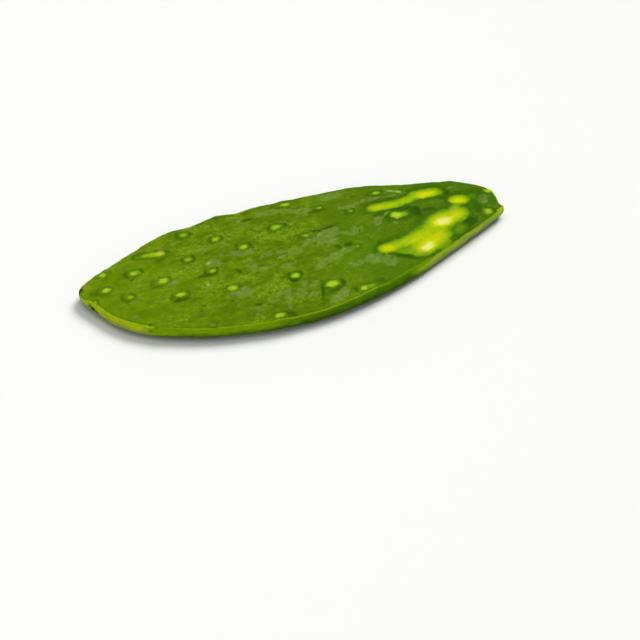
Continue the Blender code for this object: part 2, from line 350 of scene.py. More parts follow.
class PadForm:
    """The CAD solid read back as smooth forms in mm: its outline, and the lens that it was cut from."""

    WELD = 1e-6
    # A face is upright if its normal rises less than this.
    UPRIGHT = 0.01
    # The lens is read this far above the middle, and the outline just off it, in mm.
    CLEAR_OF_EDGE = 1.0
    ABOVE_SEAM = 0.01
    # Past its rim the lens keeps this much of its half thickness, squared.
    LEAST_SQUARED = 0.5
    OUTLINE_STEP = 0.25
    CORNER_ROUNDING = 0.7

    def __init__(self, node):
        solid = bmesh.new()
        solid.from_mesh(node.data)
        bmesh.ops.remove_doubles(solid, verts=solid.verts, dist=self.WELD)
        bmesh.ops.scale(solid, vec=(1 / MM,) * 3, verts=solid.verts)
        solid.normal_update()
        wall = {v for face in solid.faces if abs(face.normal.z) < self.UPRIGHT for v in face.verts}
        self.middle = sum(v.co.z for v in wall) / len(wall)
        skin = np.array([v.co for v in solid.verts if v.co.z > self.middle + self.CLEAR_OF_EDGE])
        x, y, z = skin.T
        self.lens = np.linalg.lstsq(self.terms(x, y), (z - self.middle) ** 2, rcond=None)[0]
        self.outline = self.rounded(self.cut_level(solid))
        solid.free()

    @staticmethod
    def terms(x, y):
        """The terms that make up the square of the lens's half thickness."""
        return np.stack([np.ones_like(x), x, y, x * x, x * y, y * y], axis=-1)

    def surface(self, x, y, up):
        """The height of the lens's top (up is 1) or underside (up is -1)."""
        return self.middle + up * np.sqrt(np.maximum(self.terms(x, y) @ self.lens, self.LEAST_SQUARED))

    def cut_level(self, solid):
        """The solid's outline at half its thickness, as points in order, anticlockwise from the tip."""
        everything = solid.verts[:] + solid.edges[:] + solid.faces[:]
        level = (0, 0, self.middle + self.ABOVE_SEAM)
        cut = bmesh.ops.bisect_plane(solid, geom=everything, plane_co=level, plane_no=(0, 0, 1))
        line = {part for part in cut["geom_cut"] if isinstance(part, bmesh.types.BMEdge)}
        here = next(iter(line)).verts[0]
        points = []
        while line:
            points.append(here.co.xy.copy())
            step = next((e for e in here.link_edges if e in line), None)
            if step is None:
                break
            line.remove(step)
            here = step.other_vert(here)
        points = np.array(points)
        x, y = points.T
        area = np.sum(x * np.roll(y, -1) - y * np.roll(x, -1)) / 2
        points = points if area > 0 else points[::-1]
        return np.roll(points, -np.argmin(points[:, 0]), axis=0)

    def rounded(self, points):
        """The outline at even steps, its knife corners very slightly rounded."""
        closed = np.vstack([points, points[:1]])
        along = steps_along(closed)
        count = int(along[-1] / self.OUTLINE_STEP)
        even = at_steps(closed, along, np.linspace(0, along[-1], count, endpoint=False))
        away = np.minimum(np.arange(count), count - np.arange(count)) * self.OUTLINE_STEP
        blur = np.exp(-0.5 * (away / self.CORNER_ROUNDING) ** 2)
        blur /= blur.sum()
        return np.real(np.fft.ifft(np.fft.fft(even, axis=0) * np.fft.fft(blur)[:, None], axis=0))

    def sides(self, along, across):
        """The outline's sides, the two long and the two short ones at the given numbers of even steps."""
        starts = [np.array(corner) / 100 * (HALF_LENGTH, HALF_WIDTH) for corner in SIDES.values()]
        starts = [int(np.argmin(np.hypot(*(self.outline - start).T))) for start in starts]
        made = {}
        for side, first, last, steps in zip(SIDES, starts, starts[1:] + starts[:1], (along, across) * 2):
            last += len(self.outline) * (last <= first)
            stretch = self.outline[np.arange(first, last + 1) % len(self.outline)]
            length = steps_along(stretch)
            made[side] = at_steps(stretch, length, np.linspace(0, length[-1], steps + 1))
        return made


# ---- the knife's work


def in_cut(points, cut, spread=0.0, shift=0.0, corners=2):
    """How far out of a cut's outline each point is: 0 at its middle and 1 on its edge.

    The outline is spread mm wider and shifted along the cut. It is an oval, or squarer with higher corners.
    """
    along, across = turned(points[:, 0] - cut.x, points[:, 1] - cut.y, cut.turn)
    along = (along - shift) / (cut.length / 2 + spread)
    across = across / (cut.width / 2 + spread)
    return (np.abs(along) ** corners + np.abs(across) ** corners) ** (1 / corners)


# How far in mm a cut's rind reaches past its flesh, and how far a cushion reaches past its scar.
SCAR_RIND, STROKE_RIND, CUSHION_SPREAD = 0.9, 2.6, 3.2
# How far out of a cut something starts to show, and where it shows in full.
SCAR_PALE, SCAR_RING, SCAR_SHAVED, SCAR_ENDS = (1.16, 0.1), (1.15, 0.85), (1.2, 0.6), (0.4, 1.0)
STROKE_PALE, STROKE_RING = (1.25, 0.15), (1.15, 0.6)
CUSHION_RISE, NICK_DENT, NICK_LIP = (1.0, 0.25), (1.1, 0.3), (2.2, 1.3)
STROKE_CORNERS = 2.4
# How much of a scar's rind shows at its sides, how strong the painted shadow on its near side is, and a
# nick's lip as a share of its depth.
SIDE_RIND, NEAR_SHADOW = 0.15, 0.7
LIP_SHARE = 0.3
# The power by which overlapping cuts add up: the higher, the more only the deepest counts.
ADDING_UP = 3


def shaved_scars(points, scars, wobble):
    """Flesh depth, dark rind and share of the full shave where the knife took the tops off the cushions.

    The rind shows at a cushion's two ends, where the blade went in and came out. Its near side is darkened
    with painted shadow below the raised cushion, in the rind's colour.
    """
    total, rind, shave = np.zeros((3, len(points)))
    for scar in scars:
        reach = in_cut(points, scar) + wobble
        total += (scar.pale * smooth(reach, *SCAR_PALE)) ** ADDING_UP
        ring = in_cut(points, scar, SCAR_RIND, scar.lean) + wobble
        at_ends = smooth(np.abs(points[:, 0] - scar.x - scar.lean) / (scar.length / 2), *SCAR_ENDS)
        # Painted shadow on the cushion's near side, in the rind's colour.
        shaded_near_side = smooth(scar.y - points[:, 1], 0, scar.width / 2)
        share = SIDE_RIND + (1 - SIDE_RIND) * np.maximum(at_ends, NEAR_SHADOW * shaded_near_side)
        rind = np.maximum(rind, scar.rind * share * smooth(ring, *SCAR_RING))
        shave = np.maximum(shave, smooth(reach, *SCAR_SHAVED))
    return total ** (1 / ADDING_UP), rind, shave


def passes_of_knife(points, strokes, wobble):
    """Flesh depth and dark rind of long strokes, whose depths add up smoothly where they overlap."""
    total, rind = np.zeros((2, len(points)))
    for stroke in strokes:
        reach = in_cut(points, stroke, corners=STROKE_CORNERS) + wobble
        total += (stroke.pale * smooth(reach, *STROKE_PALE)) ** ADDING_UP
        ring = in_cut(points, stroke, STROKE_RIND, corners=STROKE_CORNERS) + wobble
        rind = np.maximum(rind, stroke.rind * smooth(ring, *STROKE_RING))
    return np.minimum(total ** (1 / ADDING_UP), 1), rind


def strongest(points, shares):
    """The highest of some shares at each point, or 0."""
    return np.maximum.reduce([np.zeros(len(points)), *shares])


def spread_over(points, places, wobble, soft=0.3):
    """The strength of the strongest place that a point is in, with an uneven edge."""
    return strongest(points, (place.strength * smooth(in_cut(points, place) + wobble, 1 + soft, 1 - soft)
                              for place in places))


# How soft and torn a film's edge is, between which x it gets crisper, and how strong it is where its painted
# glint shows.
FILM_SOFT, FILM_TORN = 0.45, 0.6
CRISP_FROM, CRISP_TO = -20, 10
FILM_GLINT = (1.45, 1.95)


def ragged_film(points, patches):
    """Where a film of water and wax has drawn back into ragged patches: 0 to 1, and up to 2 where a painted
    glint shows.

    The patches have crisper edges towards the stem. Their grey colour is partly painted sheen.
    """
    film = spread_over(points, patches, 0, FILM_SOFT) + FILM_TORN * layered(points, TORN_FILM)
    crisp = smooth(points[:, 0], CRISP_FROM, CRISP_TO)
    return smooth(film, 0.40 + 0.12 * crisp, 0.95 - 0.27 * crisp) + smooth(film, *FILM_GLINT)


def spots(points, places, start, end):
    """The strength of the round spots that a point is in: no effect at start times the radius, full at end.

    A spot is its middle, as x and y or as x, y and z, its radius and its strength.
    """
    def away(middle):
        return np.sqrt(((points[:, :len(middle)] - middle) ** 2).sum(axis=1))

    return strongest(points, (strength * smooth(away(middle), start * radius, end * radius)
                              for *middle, radius, strength in places))


def cushions(points, scars):
    """The raised cushions under the scars, 0 to 1."""
    return strongest(points, (smooth(in_cut(points, scar, CUSHION_SPREAD), *CUSHION_RISE) for scar in scars))


def nicked(points, nicks):
    """Depth in mm of the nicks at each point, and the height of the low lip round each."""
    dent = strongest(points, (nick.depth * smooth(in_cut(points, nick), *NICK_DENT) for nick in nicks))
    lip = strongest(points, (nick.depth * smooth(in_cut(points, nick), *NICK_LIP) for nick in nicks))
    return dent, LIP_SHARE * lip * (dent == 0)


# The spacing of the underside's scars along and across the pad, and their least distance from the rim, in mm.
UNDERSIDE_STEP = (17.0, 12.5)
CLEAR_OF_RIM = 5
UNDERSIDE_SEED = 11


def underside_scars(form):
    """Scars on the underside: the same diagonal rows, each shaved a little differently."""
    dice = np.random.default_rng(UNDERSIDE_SEED)
    step_x, step_y = UNDERSIDE_STEP
    scars = []
    for row in range(-3, 4):
        for column in range(-7, 8):
            x = (column + 0.5 * (row % 2)) * step_x + dice.normal(0, 1.6)
            y = row * step_y + 0.06 * x + dice.normal(0, 1.4)
            length, width = dice.uniform(4, 7.5), dice.uniform(3.2, 4.8)
            scar = Scar(x, y, length, width, dice.normal(2, 5), dice.uniform(0.45, 0.62),
                        dice.uniform(0.4, 0.9), dice.normal(0, 0.9))
            room = np.min(np.hypot(form.outline[:, 0] - x, form.outline[:, 1] - y))
            inside = abs(y) < HALF_WIDTH * math.sqrt(max(0, 1 - (x / HALF_LENGTH) ** 2))
            if inside and room > CLEAR_OF_RIM:
                scars.append(scar)
    return scars


# ---- the pad's mesh


class Rim:
    """The trimmed outline as one ring of points, and the same outline moved inwards."""

    def __init__(self, sides):
        self.steps = [len(sides[side]) - 1 for side in SIDES]
        self.points = np.concatenate([sides[side][:-1] for side in SIDES])
        forward = np.roll(self.points, -1, axis=0) - np.roll(self.points, 1, axis=0)
        self.inward = np.stack([-forward[:, 1], forward[:, 0]], axis=-1)
        self.inward /= np.hypot(*self.inward.T)[:, None]

    def inset(self, distance):
        """The sides moved inwards by a distance, each with both its ends."""
        moved = self.points + self.inward * distance
        closed = np.vstack([moved, moved[:1]])
        ends = np.cumsum([0] + self.steps)
        return {side: closed[first:last + 1] for side, first, last in zip(SIDES, ends[:-1], ends[1:])}


def patch_between(sides):
    """Points filling the outline: rows run from the near side to the far side, columns from tip to stem."""
    near, far = sides["near"], sides["far"][::-1]
    stem, tip = sides["stem"], sides["tip"][::-1]
    u = np.linspace(0, 1, len(near))[:, None, None]
    v = np.linspace(0, 1, len(stem))[None, :, None]
    lofted = (1 - v) * near[:, None] + v * far[:, None]
    crossed = (1 - u) * tip[None, :] + u * stem[None, :]
    corners = (1 - u) * (1 - v) * near[0] + u * (1 - v) * near[-1] + (1 - u) * v * far[0] + u * v * far[-1]
    return lofted + crossed - corners


def numbered(flat):
    """The numbers of a grid's points."""
    return np.arange(flat.shape[0] * flat.shape[1]).reshape(flat.shape[:2])


def ring_of(grid):
    """The numbers of a grid's boundary points, anticlockwise from the near tip corner."""
    return np.concatenate([grid[:-1, 0], grid[-1, :-1], grid[:0:-1, -1], grid[0, :0:-1]])


def quads_of(grid):
    """A grid's cells as anticlockwise quads."""
    return np.stack([grid[:-1, :-1], grid[1:, :-1], grid[1:, 1:], grid[:-1, 1:]], axis=-1).reshape(-1, 4)


def nearest_rim(outline, flat):
    """For each point the nearest place on the outline, and how far off it is."""
    rim = kdtree.KDTree(len(outline))
    for number, point in enumerate(outline):
        rim.insert((*point, 0), number)
    rim.balance()
    found = [rim.find((*p, 0)) for p in flat]
    return outline[[f[1] for f in found]], np.array([f[2] for f in found])


# The far side starts between these y in the middle of the pad, and SLANT mm further out for each mm of x.
FAR_FROM, FAR_TO = 7, 13
SLANT = 0.05
# How far before and past its ends a pared stretch of rim starts to show and shows in full, in mm.
RIM_END_OUT, RIM_END_IN = 2, 6
# How far a bevel's width wavers, how steep it is, and what keeps its width above nothing, in mm.
BEVEL_WOBBLE, BEVEL_STEEPNESS, THIN = 1.4, 0.75, 1e-3


def pared_rim(rim_at, from_rim, wobble):
    """The colour depth and the drop in mm where the knife bevelled the rim; the pale colour also stands for a
    painted highlight along the edge.
    """
    depth, drop = np.zeros((2, len(rim_at)))
    x, y = rim_at.T
    far = smooth(y - SLANT * x, FAR_FROM, FAR_TO)
    for cut in RIM_CUTS_AND_HIGHLIGHTS:
        side = far if cut.side == "far" else 1 - far
        ends = (smooth(x, cut.start - RIM_END_OUT, cut.start + RIM_END_IN)
                * smooth(x, cut.end + RIM_END_OUT, cut.end - RIM_END_IN))
        width = cut.width * ends * side * (1 + BEVEL_WOBBLE * wobble) + THIN
        inside = np.clip(1 - from_rim / width, 0, 1)
        depth = np.maximum(depth, cut.pale * smooth(inside, 0.0, 0.45) * smooth(width, 0.1, 0.5))
        drop = np.maximum(drop, inside * width * BEVEL_STEEPNESS)
    return depth, drop


class Sheet:
    """One face of the pad: its points, and its finish, which says what the knife did and how the skin is."""

    # The two faces take their noise at different heights, in mm.
    NOISE_LEVEL = 40.0
    SCAR_WOBBLE, STROKE_WOBBLE, GRAZE_WOBBLE = 1.5, 0.7, 2
    # How dark a nick is painted as shade in the rind's colour, and how much scar colour shows where the rim
    # is cut.
    NICK_RIND, RIM_SCAR = 0.8, 0.5
    # How much of the wrinkles a cut takes away, and how softly the pad meets the floor, in mm.
    SMOOTHED = 0.8
    REST_BLEND = 0.25

    def __init__(self, form, shape, flat, up, work):
        self.points = np.column_stack([flat, np.full(len(flat), self.NOISE_LEVEL * up)])
        wobble = layered(self.points, WOBBLE)
        depth, rind, shave = shaved_scars(self.points, work.scars, self.SCAR_WOBBLE * wobble)
        long_depth, long_rind = passes_of_knife(self.points, work.strokes, self.STROKE_WOBBLE * wobble)
        rim_depth_and_highlight, rim_drop = pared_rim(*nearest_rim(form.outline, flat), wobble)
        dent, lip = nicked(self.points, work.nicks)
        grazed = spread_over(self.points, work.grazes, self.GRAZE_WOBBLE * wobble)
        all_depth = np.maximum.reduce([depth, long_depth, rim_depth_and_highlight])
        # The rind here also carries the painted shade in the nicks.
        all_rind = np.maximum.reduce([rind, long_rind, grazed, self.NICK_RIND * smooth(dent, 0.05, 0.25)])
        bare = 1 - np.maximum(smooth(all_depth, 0.02, 0.15), 0.8 * all_rind)
        pale_skin = np.maximum(smooth(depth, 0.2, 0.5), self.RIM_SCAR * smooth(rim_depth_and_highlight, 0.2, 0.5))
        self.finish = {
            "cut_depth": all_depth,
            "rind": all_rind,
            # The film's grey is partly painted sheen, and above 1 it is a painted glint.
            "film_and_sheen": ragged_film(self.points, work.patches) * bare,
            "scar": pale_skin * smooth(long_depth, 0.2, 0),
            "browned": spots(self.points, work.browned, 1.4, 0),
            "cork_and_shadow": np.zeros(len(flat)),
        }
        creased = 1 - self.SMOOTHED * np.clip(shave + 2 * long_depth, 0, 1)
        height = shape.swell * layered(self.points, SWELL)
        height += shape.wrinkle * layered(self.points, WRINKLE) * creased
        height += shape.cushion * cushions(self.points, work.scars) - shape.shave * shave
        height -= shape.scoop * long_depth
        z = form.surface(*flat.T, up) + up * (height / MM - rim_drop - dent + lip)
        if up < 0:  # where the pad lies its skin is pressed flat
            soft = self.REST_BLEND
            z = np.where(z < soft, soft * np.exp(np.minimum(z / soft - 1, 0)), z)
        self.points[:, 2] = z


def rim_flesh(rim):
    """The edge's cut along the outline: how pale it is, where it starts, how dark the rind and painted shade
    get lower down, and where its painted dark foot starts.

    The start and the foot are shares of the way down. The ramps are in mm of x from the middle of the pad.
    """
    x, y = rim.T
    near = smooth(y - SLANT * x, FAR_TO - 1, FAR_FROM - 1)
    middle = (0.14 + 0.16 * smooth(x, 0, -40)) * near
    base = 0.58 * smooth(x, 36, 66) * near
    tip = 0.56 * smooth(x, -76, -88) * near
    stem = 0.50 * smooth(x, 105, 107.5)
    far = 0.10 * (1 - near)
    start = 0.12 * smooth(x, 50, 66) * smooth(x, 108, 100) * near
    # How dark the edge gets lower down: the rind's own dark and painted shade under the edge, darkest on the
    # near side between about x -5 and 40.
    rind = 0.4 + (0.1 + 0.12 * smooth(x, -40, -5) * smooth(x, 62, 40)) * near
    # Where the painted dark foot starts, as a share of the way down; below it the edge is painted as shaded.
    foot = 1 - 0.2 * near * smooth(x, -84, -70) * smooth(x, 109, 104)
    return np.maximum.reduce([middle, base, tip, stem, far]), start, rind, foot


class Edge:
    """The pad's edge: rows of points from the top's rim to the underside's, and how they are cut.

    The flesh is pale where the edge was pared, and it fades into dark rind at its foot, which is also painted
    shade under the edge. It is wet in the middle, with painted sheen and glint, and dries brown in places.
    """

    ROWS = 9
    # How far the edge bulges in mm, and over which share of its height its flesh fades in and out.
    BULGE = 0.25
    FADE_IN, FADE_OUT = 0.3, 0.45

    def __init__(self, rim, radius, undercut, top_z, under_z, top_depth, top_rind):
        self.cut = rim_flesh(rim.points)
        self.top_depth, self.top_rind = top_depth, top_rind
        places, finishes = [], []
        for row in range(1, self.ROWS):
            down = row / self.ROWS
            out = math.sin(math.pi * down) ** (0.45 + 0.5 * down)
            inset = (radius * (1 - down) + undercut * down) * (1 - out) - self.BULGE * out
            z = top_z + (under_z - top_z) * (0.5 - 0.5 * math.cos(math.pi * down))
            place = np.column_stack([rim.points + rim.inward * inset, z])
            place[:, :2] -= rim.inward * (layered(place, EDGE_RIPPLE) * out)[:, None]
            places.append(place)
            finishes.append(self.finish_of_row(place, down))
        self.points = np.concatenate(places)
        self.finish = {name: np.concatenate([row[name] for row in finishes]) for name in finishes[0]}

    def finish_of_row(self, place, down):
        """How one row is cut. down is its share of the way from the top's rim to the underside's."""
        pared, pared_from, rind_and_shade_below, foot = self.cut
        ragged = layered(place, EDGE_RAGGED)
        level = down + ragged
        from_edge = smooth(down + 0.5 * ragged, pared_from, pared_from + self.FADE_IN)
        pale = pared * (1 + layered(place, EDGE_UNEVEN)) * smooth(level, foot, foot - self.FADE_OUT)
        # The edge darkens downwards, as rind and as painted shade under the edge.
        rind = self.top_rind + (rind_and_shade_below - self.top_rind) * from_edge * smooth(level, 0.1, 0.6)
        dry = smooth(layered(place, EDGE_DRY), 0.05, 0.5) + 0.6 * smooth(down, 0.3, 0.7)
        # wet: the wet cut's film, painted partly as sheen and glint, which also gives its lower part a pale
        # beige.
        wet = (1.1 + layered(place, EDGE_WET)) * smooth(level, 0.25, 0.6) * smooth(level, foot, foot - 0.15)
        open_cut = smooth(pared, 0.3, 0.5)
        return {
            "cut_depth": self.top_depth + (pale - self.top_depth) * from_edge,
            # Below the foot the extra dark is painted shade.
            "rind": np.minimum(rind + 2.5 * (1 - foot) * smooth(level, 0.4, 0.8), 1),
            "film_and_sheen": open_cut * wet,
            "scar": 1.6 * pared * pared * smooth(down, 0.1, 0.5),
            "browned": 0.6 * pared * pared * dry * smooth(down, 0.1, 0.4),
            # Below the foot, near the stem, dark brown paints the shadow under the edge.
            "cork_and_shadow": 1.8 * (1 - foot) * open_cut * smooth(level, foot - 0.15, foot),
        }


# One map lays the pad out for its finish: the top and the underside lie flat on it in bands, and the edge is
# unrolled in two.
MAP_NAME = "OFBake"
MAP_BORDER = 0.004
TOP_BAND = (0.004, 0.425)
UNDER_BAND = (0.440, 0.861)
EDGE_BANDS = (0.925, 0.990)
EDGE_BAND_HEIGHT = 0.050


def laid_flat(grid, band):
    """Each point's place on the map, with the grid filling a band from side to side."""
    flat = grid.reshape(-1, 2)
    share = (flat - flat.min(axis=0)) / np.ptp(flat, axis=0)
    return share * (1 - 2 * MAP_BORDER, band[1] - band[0]) + (MAP_BORDER, band[0])


def unrolled_edge(rim):
    """A function for map places of points on the edge, which is cut at the rim's start and its half."""
    along = steps_along(np.vstack([rim.points, rim.points[:1]]))
    half = sum(rim.steps[:2])

    def place(number, first_of_face, down):
        second = first_of_face >= half
        start = np.where(second, along[half], 0)
        end = np.where(second, along[-1], along[half])
        u = MAP_BORDER + (1 - 2 * MAP_BORDER) * (along[number] - start) / (end - start)
        return np.stack([u, np.where(second, *EDGE_BANDS[::-1]) - EDGE_BAND_HEIGHT * down], axis=-1)

    return place


def faces_of_pad(flat_top, flat_under, rim):
    """The pad's faces, and each of their corners' place on the map.

    The top's points have the first numbers, then come the edge's rows and then the underside's points.
    """
    here = np.arange(len(rim.points))
    top, under = numbered(flat_top), numbered(flat_under)
    rings = [ring_of(top)] + [top.size + row * len(here) + here for row in range(Edge.ROWS - 1)]
    first_under = rings[-1][-1] + 1
    under_quads = quads_of(under)[:, ::-1]
    faces = quads_of(top).tolist()
    corners = [laid_flat(flat_top, TOP_BAND)[quads_of(top)]]
    unrolled = unrolled_edge(rim)

    def add_strip(here, *strip):
        """Adds faces round the edge. A corner is its points' numbers, steps on from here and level."""
        faces.extend(np.stack([numbers for numbers, _, _ in strip], axis=-1).tolist())
        corners.append(np.stack([unrolled(here + on, here, down) for _, on, down in strip], axis=1))

    for row, (upper, lower) in enumerate(zip(rings[:-1], rings[1:])):
        above, below = row / Edge.ROWS, (row + 1) / Edge.ROWS
        add_strip(here, (upper, 0, above), (lower, 0, below),
                  (np.roll(lower, -1), 1, below), (np.roll(upper, -1), 1, above))
    # The underside has half as many points, so each of them takes a triangle and a quad.
    here, last, level = here[::2], rings[-1], (Edge.ROWS - 1) / Edge.ROWS
    foot = first_under + ring_of(under)
    add_strip(here, (last[::2], 0, level), (foot, 0, 1), (last[1::2], 1, level))
    add_strip(here, (last[1::2], 1, level), (foot, 0, 1),
              (np.roll(foot, -1), 2, 1), (np.roll(last, -2)[::2], 2, level))
    faces += (first_under + under_quads).tolist()
    corners.append(laid_flat(flat_under * (-1, 1), UNDER_BAND)[under_quads])
    return faces, np.concatenate([part.reshape(-1, 2) for part in corners])


# Fewer cells along the pad than its length asks for, so they are a little longer than wide.
LONGER_CELLS = 0.98


def make_pad_mesh(shape, form):
    """The pad as one closed mesh, with its finish kept in point attributes."""
    along = 2 * round(HALF_LENGTH * MM / shape.cell * LONGER_CELLS)
    across = 2 * round(HALF_WIDTH * MM / shape.cell)
    rim = Rim(form.sides(along, across))
    radius, undercut = shape.edge_radius / MM, shape.undercut / MM
    flat_top = patch_between(rim.inset(radius))
    flat_under = patch_between(rim.inset(undercut))[::2, ::2]
    top_work = Work(TOP_SCARS, TOP_STROKES, TOP_GRAZES, TOP_NICKS, TOP_PATCHES, BROWNED)
    under_work = Work(underside_scars(form), UNDERSIDE_STROKES, (), (), UNDERSIDE_PATCHES, ())
    top = Sheet(form, shape, flat_top.reshape(-1, 2), 1, top_work)
    under = Sheet(form, shape, flat_under.reshape(-1, 2), -1, under_work)

    top_ring, under_ring = ring_of(numbered(flat_top)), ring_of(numbered(flat_under))
    under_z = under.points[[*under_ring, under_ring[0]], 2]
    under_z = np.interp(np.arange(len(top_ring)) / 2, np.arange(len(under_z)), under_z)
    edge = Edge(rim, radius, undercut, top.points[top_ring, 2], under_z, top.finish["cut_depth"][top_ring],
                top.finish["rind"][top_ring])

    faces, corners = faces_of_pad(flat_top, flat_under, rim)
    points = np.concatenate([top.points, edge.points, under.points])
    mesh = bpy.data.meshes.new(PIECE)
    mesh.from_pydata((points * MM).tolist(), [], faces)
    mesh.uv_layers.new(name=MAP_NAME).data.foreach_set("uv", corners.astype(np.float32).ravel())
    mesh.validate()
    finish = {name: np.concatenate([part.finish[name] for part in (top, edge, under)]) for name in top.finish}
    finish["cork_and_shadow"] = np.maximum(finish["cork_and_shadow"], spots(points, CORK_SPOTS, 1.4, 0.4))
    for name, values in finish.items():
        mesh.attributes.new(name, "FLOAT", "POINT").data.foreach_set("value", values.astype(np.float32))
    mesh.shade_smooth()
    return mesh


# ---- materials

# A Mix node's sockets go by number, because several share a name.
MIX_FACTOR, MIX_A, MIX_B, MIX_COLOUR = 0, 6, 7, 2
MIX_VALUE_A, MIX_VALUE_B = 2, 3


def add_node(tree, kind, values=None, links=None, stops=None, **settings):
    """Adds a node. settings are its own, values and links go to its inputs, and stops fill a colour ramp."""
    node = tree.nodes.new("ShaderNode" + kind)
    for name, value in settings.items():
        setattr(node, name, value)
    for socket, value in (values or {}).items():
        node.inputs[socket].default_value = value
    for socket, source in (links or {}).items():
        tree.links.new(source, node.inputs[socket])
    if stops:
        ramp = node.color_ramp.elements
        while len(ramp) < len(stops):
            ramp.new(1)
        for element, (position, colour) in zip(ramp, stops):
            element.position = position
            element.color = (*colour, 1)
    return node


def per_metre(size):
    """A noise scale whose features are size millimetres across."""
    return 1 / (size * MM)


def new_material(name):
    material = bpy.data.materials.new(name)
    material.use_nodes = True
    material.node_tree.nodes.clear()
    return material, material.node_tree


def pad_signals(tree):
    """What the pad's finish goes by: the mesh's attributes, noises, places along the pad and mixtures."""
    place = add_node(tree, "TexCoord").outputs["Object"]
    axes = add_node(tree, "SeparateXYZ", None, {0: place}).outputs
    signal = {"lengthwise": axes["X"], "crosswise": axes["Y"]}
    for name in ("cut_depth", "rind", "film_and_sheen", "scar", "browned", "cork_and_shadow"):
        signal[name] = add_node(tree, "Attribute", attribute_name=name).outputs["Fac"]
    drawn = {}
    for name, stretch, turn in (("none", 1, 0), ("grown", 1.7, 14), ("creased", 2.2, 24), ("knifed", 7, 24)):
        drawn[name] = add_node(tree, "Mapping",
                               {"Scale": (stretch, 1, 1), "Rotation": (0, 0, math.radians(turn))},
                               {"Vector": place}, vector_type="TEXTURE").outputs[0]
    for name, size, detail, rough, along in (
        ("broad", 11, 3, 0.6, "grown"), ("mottle", 3, 4, 0.58, "grown"), ("specks", 2, 3, 0.6, "none"),
        ("flecks", 0.7, 2, 0.5, "creased"), ("streaks", 1.7, 3, 0.5, "knifed"),
    ):
        signal[name] = add_node(tree, "TexNoise",
                                {"Scale": per_metre(size), "Detail": detail, "Roughness": rough},
                                {"Vector": drawn[along]}).outputs[0]
    signal["tone"] = add_node(tree, "Mix", {MIX_FACTOR: 0.5},
                              {MIX_VALUE_A: signal["mottle"], MIX_VALUE_B: signal["broad"]},
                              data_type="FLOAT").outputs[0]
    # The skin is smooth towards the tip and the stem, and rougher in places in between.
    for name, source, start, end, low, high in (
        ("livelier", "lengthwise", -85 * MM, -50 * MM, 0.5, 1),
        ("calmer", "lengthwise", -10 * MM, 25 * MM, 1, 0.35),
        ("uneven", "broad", 0.42, 0.6, 0.12, 1),
        ("is_cut", "cut_depth", 0.04, 0.24, 0, 1),
    ):
        signal[name] = add_node(tree, "MapRange",
                                {"From Min": start, "From Max": end, "To Min": low, "To Max": high},
                                {"Value": signal[source]}, interpolation_type="SMOOTHSTEP").outputs[0]
    # Cut flesh is streaked by the blade, and a film of wax and water is thinner where the skin is creased.
    signal["film"] = add_node(tree, "MapRange", {"From Min": 0.36, "From Max": 0.56, "To Min": 0.55},
                              {"Value": signal["specks"]}).outputs[0]
    signal["evenly_streaked"] = add_node(tree, "Math", {1: 0.4, 2: 0.7}, {0: signal["streaks"]},
                                         operation="MULTIPLY_ADD").outputs[0]
    for name, first, times, plus in (("streaked", "specks", 0.2, "evenly_streaked"),
                                     ("relief", "specks", 0.6, "mottle")):
        signal[name] = add_node(tree, "Math", {1: times}, {0: signal[first], 2: signal[plus]},
                                operation="MULTIPLY_ADD").outputs[0]
    for name, first, second, clamped in (
        ("lively", "livelier", "calmer", False), ("rough", "lively", "uneven", False),
        ("seen_depth", "cut_depth", "streaked", False), ("waxy", "film_and_sheen", "film", True),
    ):
        signal[name] = add_node(tree, "Math", None, {0: signal[first], 1: signal[second]},
                                operation="MULTIPLY", use_clamp=clamped).outputs[0]
    return signal


def tinted(tree, signal, below, layers):
    """A colour with tints over it. below is a plain colour or a node's output.

    A layer is the signal that it goes by, where that starts to show and shows in full, its greatest share
    and its tint, and the signal that keeps it to some places if any.
    """
    for name, start, end, most, tint, *kept_to in layers:
        share = add_node(tree, "MapRange", {"From Min": start, "From Max": end, "To Max": most},
                         {"Value": signal[name]}).outputs[0]
        for where in kept_to:
            share = add_node(tree, "Math", None, {0: share, 1: signal[where]},
                             operation="MULTIPLY").outputs[0]
        values, links = {MIX_B: (*tint, 1)}, {MIX_FACTOR: share}
        if isinstance(below, bpy.types.NodeSocket):
            links[MIX_A] = below
        else:
            values[MIX_A] = (*below, 1)
        below = add_node(tree, "Mix", values, links, data_type="RGBA").outputs[MIX_COLOUR]
    return below


